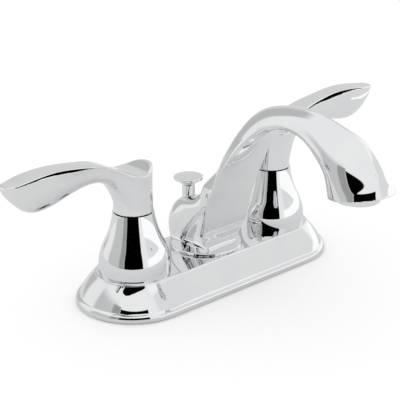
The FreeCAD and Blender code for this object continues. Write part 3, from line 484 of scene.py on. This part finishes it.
def turned_field(across, y, z):
    """The arch by the section that stands square to its inner face at each point."""
    shape = np.broadcast_shapes(y.shape, z.shape)
    near = np.full(shape, np.inf)
    place = np.zeros(shape)
    for index in range(0, RAIL.shape[1], 8):
        gap = (y - RAIL[0, index]) ** 2 + (z - RAIL[1, index]) ** 2
        place = np.where(gap < near, index, place)
        near = np.minimum(gap, near)
    for _ in range(4):
        rail_y, rail_z = read_rail(RAIL[:2], place)
        slope_y, slope_z = read_rail(RAIL_SLOPE, place)
        bend_y, bend_z = read_rail(RAIL_BEND, place)
        along = (y - rail_y) * slope_y + (z - rail_z) * slope_z
        turn = 1 - (y - rail_y) * bend_y - (z - rail_z) * bend_z
        place = np.clip(place + along / np.maximum(turn, 0.25) / RAIL_STEP, 0, RAIL.shape[1] - 1)
    rail_y, rail_z, *sizes = read_rail(RAIL, place)
    slope_y, slope_z = read_rail(RAIL_SLOPE, place)
    depth = (y - rail_y) * slope_z - (z - rail_z) * slope_y
    return section_field(across, depth, *sizes)


def level_field(across, y, z):
    """The foot of the arch by the level section at each height."""
    place = np.interp(z, RAIL[1, :RAIL_CREST], np.arange(RAIL_CREST))
    rail_y, _, *sizes = read_rail(RAIL, place)
    return section_field(across, y - rail_y, *sizes)


def hood_field(across, y, z):
    """The hood by the level section at each height: flat front, straight sides, round back."""
    height = (z - DECK_TOP) / BOSS_HEIGHT
    front, turn, back = (ROD_Y + BOSS_RADIUS * spline(HOOD_STATIONS[:, 0], HOOD_STATIONS[:, column], height)
                         for column in (1, 2, 3))
    half = BOSS_RADIUS * spline(HOOD_STATIONS[:, 0], HOOD_STATIONS[:, 4], height)
    reach = np.hypot(across / half, np.maximum(y - turn, 0) / (back - turn))
    return rounded_max((reach - 1) * np.minimum(half, back - turn), front - y, HOOD_EDGE)


def smooth_step(value, start, end):
    """From 0 at the start to 1 at the end, without a kink."""
    share = np.clip((value - start) / (end - start), 0, 1)
    return share * share * (3 - 2 * share)


def spout_field(x, y, z):
    across = np.abs(x)
    from_axis = np.hypot(x, y)
    from_rod = np.hypot(x, y - ROD_Y)
    turned = smooth_step(z, LEVEL_TO, TURNED_FROM)
    arch = level_field(across, y, z) * (1 - turned) + turned_field(across, y, z) * turned
    hood = np.maximum(hood_field(across, y, z), z - DECK_TOP - BOSS_HEIGHT * HOOD_STATIONS[-1, 0])
    melted = smooth_step(z, MELT_FROM, MELT_FULL) * smooth_step(-z, -MELT_END, -MELT_LESS)
    melt = MELT_LOW + MELT_HIGH * melted
    skirt = np.clip((FOOT_RADIUS - from_axis) / (FOOT_RADIUS - SKIRT_RADIUS), 0, 1) ** 2
    foot = rounded_max(from_axis - FOOT_RADIUS, z - DECK_TOP - FOOT_LIP - SKIRT_RISE * skirt, FOOT_EDGE)
    body = rounded_min(rounded_min(arch, hood, melt), foot, FOOT_BLEND)
    body = rounded_max(body, ROD_BORE - from_rod, BORE_EDGE)
    lip = (LIP_HEIGHT - z - OUTLET_TILT * (y + REACH)) / math.hypot(1, OUTLET_TILT)
    body = rounded_max(body, np.where(y < -REACH / 2, lip, -RISE), LIP_EDGE)
    recess = np.maximum(np.hypot(x, y + REACH) - AERATOR_RADIUS - RECESS_GAP, z - LIP_HEIGHT - RECESS_DEPTH)
    body = rounded_max(body, -recess, RECESS_EDGE)
    return np.maximum(body, DECK_TOP - z)


def spout():
    margin, cell = 5.0, 0.6
    low = [-FOOT_RADIUS - margin, spout_low[1] - margin, DECK_TOP - margin]
    high = [FOOT_RADIUS + margin, spout_high[1] + margin, spout_high[2] + margin]
    points, faces, normals = skin(spout_field, low, high, cell)
    new_piece("spout_skin", points, faces, CHROME, "root", "spout", normals=normals)


# Levers: sections from the valve axis outward, close to the solid's: share of the length, height
# of the top edge, depth of the belly, half widths of the top and of the belly
LEVER_STATIONS = np.array([
    (-0.160, 76.6, 22.0, 8.6, 7.0),
    (-0.085, 74.2, 22.0, 8.6, 7.0),
    (-0.045, 72.9, 22.0, 8.6, 7.0),
    (0.030, 72.3, 22.0, 8.6, 7.0),
    (0.090, 73.6, 19.5, 8.9, 7.4),
    (0.150, 75.9, 14.9, 8.7, 7.4),
    (0.210, 78.6, 11.0, 7.9, 7.2),
    (0.310, 81.7, 9.8, 6.7, 6.7),
    (0.450, 84.0, 12.6, 5.6, 6.5),
    (0.600, 85.6, 17.2, 5.6, 7.0),
    (0.750, 85.7, 19.2, 6.2, 6.8),
    (0.860, 84.9, 16.0, 6.2, 6.2),
    (0.945, 84.1, 9.0, 5.2, 4.9),
    (0.985, 83.9, 4.8, 3.7, 3.4),
    (1.000, 83.8, 2.6, 2.4, 2.2),
])
# Facet under the top edge: how far it reaches out at shares of the length, and its lean from
# upright; the tips are swept towards the user
FACET_SHARES = (-0.2, 0.28, 0.36, 0.43, 0.52, 0.62, 0.75, 0.90, 0.97)
FACET_REACH = (0.5, 0.5, 1.0, 1.8, 2.5, 2.2, 1.1, 0.6, 0.4)
FACET_LEAN, LEVER_SWEEP = 56.0, 2.5
HUB_WAIST, HUB_SHOULDER, LEVER_CROWN = 0.35, 74.0, 0.3
# Blade's section: where the belly starts to close, how fully it closes, and where the flank
# leaves the facet, as shares of the depth
BELLY_FROM, BELLY_POWER, EDGE_SHARE = 0.3, 2.3, 0.4
# How steep the flanks stand on the whole, the blend of blade and hub, and how far edges are eased
FLANK_STEEPNESS, HUB_BLEND = 1.15, 6.0
BELLY_EDGE, FACET_EDGE, TIP_EDGE, TOP_EDGE, HUB_EDGE = 0.6, 0.15, 0.8, 0.8, 0.5


def lever_field(x, y, z):
    """A lever that points along +X from the valve axis, before its sweep."""
    share = x / LEVER_LENGTH
    top, depth, half_top, half_belly = (spline(LEVER_STATIONS[:, 0], LEVER_STATIONS[:, column], share)
                                        for column in range(1, 5))
    half_edge = half_top + np.interp(share, FACET_SHARES, FACET_REACH)
    across = np.abs(y)
    down = (top - z) / depth
    closing = np.clip((down - BELLY_FROM) / (1 - BELLY_FROM), 0, 1)
    width = half_belly * np.sqrt(np.maximum(1 - closing**BELLY_POWER, 0))
    ease = np.clip(1 - down / EDGE_SHARE, 0, 1) ** 2
    width = width * (1 - ease) + half_edge * ease
    blade = rounded_max((across - width) / FLANK_STEEPNESS, (down - 1) * depth, BELLY_EDGE)
    lean = math.radians(FACET_LEAN)
    facet = (across - half_top) * math.cos(lean) + (z - top) * math.sin(lean)
    blade = rounded_max(rounded_max(blade, facet, FACET_EDGE), x - LEVER_LENGTH, TIP_EDGE)
    blade = np.maximum(blade, -x)
    middle = (HUB_LOW + HUB_SHOULDER) / 2
    waist = HUB_WAIST * (1 - ((z - middle) / (HUB_SHOULDER - middle)) ** 2)
    from_axis = np.hypot(x, y)
    hub = np.maximum(from_axis - HUB_RADIUS + waist, HUB_LOW - z)
    past_rim = from_axis - HUB_RADIUS + FACET_REACH[0]
    hub = rounded_max(hub, past_rim * math.cos(lean) + (z - top) * math.sin(lean), FACET_EDGE)
    body = rounded_min(blade, hub, HUB_BLEND)
    crown = LEVER_CROWN * np.maximum(1 - (across / HUB_RADIUS) ** 2, 0)
    body = rounded_max(body, z - top - crown, TOP_EDGE)
    return rounded_max(body, HUB_LOW - z, HUB_EDGE)


def lever(side, sign, body):
    margin, top_margin, cell = 2.0, 3.0, 0.5
    low = [-HUB_RADIUS - margin, -HUB_RADIUS - margin, HUB_LOW - margin]
    high = [LEVER_LENGTH + margin, HUB_RADIUS + margin, lever_high[2] + top_margin]

    def swept(x, y, z):
        return lever_field(x, y + sign * LEVER_SWEEP * np.clip(x / LEVER_LENGTH, 0, 1) ** 2, z)

    points, faces, normals = skin(swept, low, high, cell)
    turn = np.array([sign, sign, 1])
    points = points * turn + [sign * VALVE_X, 0, 0]
    new_piece(f"{side}_lever_skin", points, faces, CHROME, body, f"{side}_lever", normals=normals * turn)


# Knob and aerator
def lift_knob():
    crown, rim, flare, neck, edge, middle = 0.9, 1.5, 3.4, 3.6, 0.35, 0.02
    rim_low = KNOB_TOP - crown - rim
    crown_round = (KNOB_RADIUS**2 / crown + crown) / 2
    outline = [(ROD_RADIUS, knob_low[2]), (neck, knob_low[2]), (neck, rim_low - flare)]
    outline += arc((neck, rim_low - flare), (KNOB_RADIUS - edge, rim_low), KNOB_RADIUS, -1, 10)
    outline += arc((KNOB_RADIUS - edge, rim_low), (KNOB_RADIUS, rim_low + edge), edge, 1, 4)
    outline += [(KNOB_RADIUS, rim_low + rim - edge)]
    outline += arc((KNOB_RADIUS, rim_low + rim - edge), (KNOB_RADIUS - edge, rim_low + rim), edge, 1, 4)
    outline += arc((KNOB_RADIUS - edge, rim_low + rim), (middle, KNOB_TOP), crown_round, 1, 12)
    outline += [(middle, rim_low), (ROD_RADIUS, rim_low)]
    points, faces = rings(outline, circle_plan(0, ROD_Y, 96))
    new_piece("lift_knob_skin", points, faces, CHROME, "lift_rod_body", "lift_knob")


def aerator_shell():
    wall, edge, lip, thread_radius, skirt = 1.4, 0.4, 1.2, 9.7, 8.6
    top = shell_high[2]
    thread_low = AERATOR_LOW + skirt
    outline = [(AERATOR_RADIUS - wall * 2, AERATOR_LOW), (AERATOR_RADIUS - edge, AERATOR_LOW)]
    outline += arc((AERATOR_RADIUS - edge, AERATOR_LOW), (AERATOR_RADIUS, AERATOR_LOW + edge), edge, 1, 4)
    outline += [(AERATOR_RADIUS, thread_low), (thread_radius, thread_low), (thread_radius, top),
                (thread_radius - wall, top), (thread_radius - wall, AERATOR_LOW + lip),
                (AERATOR_RADIUS - wall * 2, AERATOR_LOW + lip)]
    points, faces = rings(outline, circle_plan(0, -REACH, 96))
    new_piece("aerator_shell_skin", points, faces, CHROME, "root", "aerator_shell")


# Camera at the photograph's angle
CAMERA_AZIMUTH, CAMERA_ELEVATION, CAMERA_ROLL = -42.244, 21.067, -0.4
CAMERA_DISTANCE, CAMERA_TARGET = 650.0, (-4.102, 0.0, 43.442)
FOCAL_PIXELS, LONG_SIDE, SENSOR = 1195.14, 401, 36.0


def camera():
    azimuth, elevation = math.radians(CAMERA_AZIMUTH), math.radians(CAMERA_ELEVATION)
    level = math.cos(elevation)
    back = Vector((math.sin(azimuth) * level, -math.cos(azimuth) * level, math.sin(elevation)))
    right = Vector((math.cos(azimuth), math.sin(azimuth), 0))
    up = back.cross(right)
    roll = math.radians(CAMERA_ROLL)
    right, up = right * math.cos(roll) + up * math.sin(roll), up * math.cos(roll) - right * math.sin(roll)
    data = bpy.data.cameras.new("camera")
    data.sensor_width = SENSOR
    data.lens = SENSOR * FOCAL_PIXELS / LONG_SIDE
    data.clip_start = 0.01
    holder = bpy.data.objects.new("camera", data)
    bpy.context.scene.collection.objects.link(holder)
    holder.matrix_world = Matrix((right, up, back)).transposed().to_4x4()
    holder.location = (Vector(CAMERA_TARGET) + back * CAMERA_DISTANCE) * MM
    bpy.context.scene.camera = holder


dress_solids()
deck_cover()
for side_name, side_sign in (("hot", -1), ("cold", 1)):
    bell(side_name, VALVE_X * side_sign)
    lever(side_name, side_sign, f"{side_name}_handle")
spout()
lift_knob()
aerator_shell()
camera()


# Studio
FLOOR_SHADE, FLOOR_GLOW = 0.8, 0.24
FLOOR_NEAR, FLOOR_FAR = 330.0, 4000.0


def staged(name, points, faces, material):
    """A mesh of the studio, which isn't part of the object."""
    mesh = bpy.data.meshes.new(name)
    mesh.from_pydata([tuple(point) for point in np.asarray(points) * MM], [], faces)
    mesh.materials.append(material)
    thing = bpy.data.objects.new(name, mesh)
    bpy.context.scene.collection.objects.link(thing)
    return thing


def floor_material():
    """Pale floor that glows a little to the camera, so that the object's shade on it stays soft."""
    material, nodes, links, shader = matt_material("studio_floor", FLOOR_SHADE)
    path = nodes.new("ShaderNodeLightPath")
    glow = nodes.new("ShaderNodeMath")
    glow.operation = "MULTIPLY"
    glow.inputs[1].default_value = FLOOR_GLOW
    links.new(path.outputs["Is Camera Ray"], glow.inputs[0])
    shader.inputs["Emission Color"].default_value = (1, 1, 1, 1)
    links.new(glow.outputs[0], shader.inputs["Emission Strength"])
    return material


def floor():
    """A near round floor that mirrors see too, and a far one that they don't see."""
    sides = 96
    material = floor_material()
    plan = circle_plan(0, 0, sides)
    inner_ring, outer_ring = ([(x, y, 0) for x, y in plan(radius)] for radius in (FLOOR_NEAR, FLOOR_FAR))
    staged("floor_near", inner_ring, [tuple(range(sides))], material)
    faces = [(step, (step + 1) % sides, sides + (step + 1) % sides, sides + step) for step in range(sides)]
    far = staged("floor_far", outer_ring + inner_ring, faces, material)
    far.visible_glossy = False


# Areas of the studio as mirrors see them: from and to azimuth (0 is +Y, 90 is +X), from and to
# elevation, brightness, and how soft the sides and the top and bottom are, in degrees
AREAS = [
    (-100, -46, -40, 38, 0.62, 14, 14),
    (-46, -12, -4, 38, 0.94, 10, 10),
    (60, 172, -20, 64, 1.06, 12, 8),
    (102, 172, 8, 46, 0.84, 10, 6),
    (60, 176, -20, 11, 1.18, 12, 3),
    (20, 64, -5, 46, 0.74, 14, 10),
    (-12, 24, -40, 58, 0.56, 10, 14),
    (-108, -90, -12, 36, 0.36, 6, 3),
    (-167, -108, -12, 33, 0.0, 1.0, 1.0),
]
SKY_LEVEL = 0.96


# Dark cards that only mirrors see: one over the front edge of each lever, from and to x and y,
# and a bent one over the left end of the base, its outer radii by azimuth
CARD_HEIGHT = 100.0
EDGE_CARDS = [((-122, -14), (-45, -2)), ((78, -16), (150, -2))]
BENT_MIDDLE, BENT_INNER = (-64.0, -14.0), 41.0
BENT_AZIMUTHS = (-184, -160, -148, -140, -130, -120, -110, -100, -95)
BENT_OUTER = (54, 55, 57, 60, 64, 71, 75, 71, 64)


def dark_cards():
    outlines = [[low, (high[0], low[1]), high, (low[0], high[1])] for low, high in EDGE_CARDS]
    angles = np.linspace(BENT_AZIMUTHS[0], BENT_AZIMUTHS[-1], 40)
    radii = np.interp(angles, BENT_AZIMUTHS, BENT_OUTER)
    for angle, after, radius, reach in zip(angles, angles[1:], radii, radii[1:]):
        corners = ((angle, BENT_INNER), (after, BENT_INNER), (after, reach), (angle, radius))
        outlines.append([(BENT_MIDDLE[0] + size * math.sin(math.radians(turn)),
                          BENT_MIDDLE[1] + size * math.cos(math.radians(turn))) for turn, size in corners])
    points = [(x, y, CARD_HEIGHT) for outline in outlines for x, y in outline]
    faces = [tuple(range(4 * index, 4 * index + 4)) for index in range(len(outlines))]
    cards = staged("dark_cards", points, faces, matt_material("dark_card", 0)[0])
    cards.visible_camera = False
    cards.visible_diffuse = False
    cards.visible_shadow = False


def studio_world():
    """Even white light, and for mirrors a studio of bright and dark areas."""
    world = bpy.data.worlds.new("studio")
    bpy.context.scene.world = world
    world.use_nodes = True
    nodes, links = world.node_tree.nodes, world.node_tree.links
    background = nodes["Background"]

    def math_node(operation, *values):
        step = nodes.new("ShaderNodeMath")
        step.operation = operation
        for index, value in enumerate(values):
            if isinstance(value, (int, float)):
                step.inputs[index].default_value = value
            else:
                links.new(value, step.inputs[index])
        return step.outputs[0]

    def rise(value, start, end):
        ramp = nodes.new("ShaderNodeMapRange")
        ramp.interpolation_type = "SMOOTHSTEP"
        ramp.inputs["From Min"].default_value = start
        ramp.inputs["From Max"].default_value = end
        links.new(value, ramp.inputs["Value"])
        return ramp.outputs["Result"]

    place = nodes.new("ShaderNodeTexCoord")
    split = nodes.new("ShaderNodeSeparateXYZ")
    links.new(place.outputs["Generated"], split.inputs["Vector"])
    degree = 180 / math.pi
    azimuth = math_node("MULTIPLY", math_node("ARCTAN2", split.outputs["X"], split.outputs["Y"]), degree)
    elevation = math_node("MULTIPLY", math_node("ARCSINE", split.outputs["Z"]), degree)
    level = math_node("ADD", SKY_LEVEL, 0.0)
    for start, end, low, high, bright, side_soft, edge_soft in AREAS:
        middle = (start + end) / 2
        half = (end - start) / 2
        round_once = math_node("MODULO", math_node("ADD", azimuth, 540 - middle), 360.0)
        turned = math_node("SUBTRACT", round_once, 180.0)
        nearer = math_node("MINIMUM", math_node("ADD", turned, half), math_node("SUBTRACT", half, turned))
        across = rise(nearer, -side_soft / 2, side_soft / 2)
        above = math_node("ABSOLUTE", math_node("SUBTRACT", elevation, (low + high) / 2))
        along = rise(above, (high - low) / 2 + edge_soft / 2, (high - low) / 2 - edge_soft / 2)
        share = math_node("MULTIPLY", across, along)
        mix = nodes.new("ShaderNodeMix")
        mix.data_type = "FLOAT"
        links.new(share, mix.inputs["Factor"])
        links.new(level, mix.inputs["A"])
        mix.inputs["B"].default_value = bright
        level = mix.outputs["Result"]
    path = nodes.new("ShaderNodeLightPath")
    chosen = nodes.new("ShaderNodeMix")
    chosen.data_type = "FLOAT"
    links.new(path.outputs["Is Glossy Ray"], chosen.inputs["Factor"])
    chosen.inputs["A"].default_value = 1.0
    links.new(level, chosen.inputs["B"])
    links.new(chosen.outputs["Result"], background.inputs["Strength"])
    background.inputs["Color"].default_value = (1, 1, 1, 1)
    bpy.context.scene.view_settings.view_transform = "Standard"


floor()
dark_cards()
studio_world()
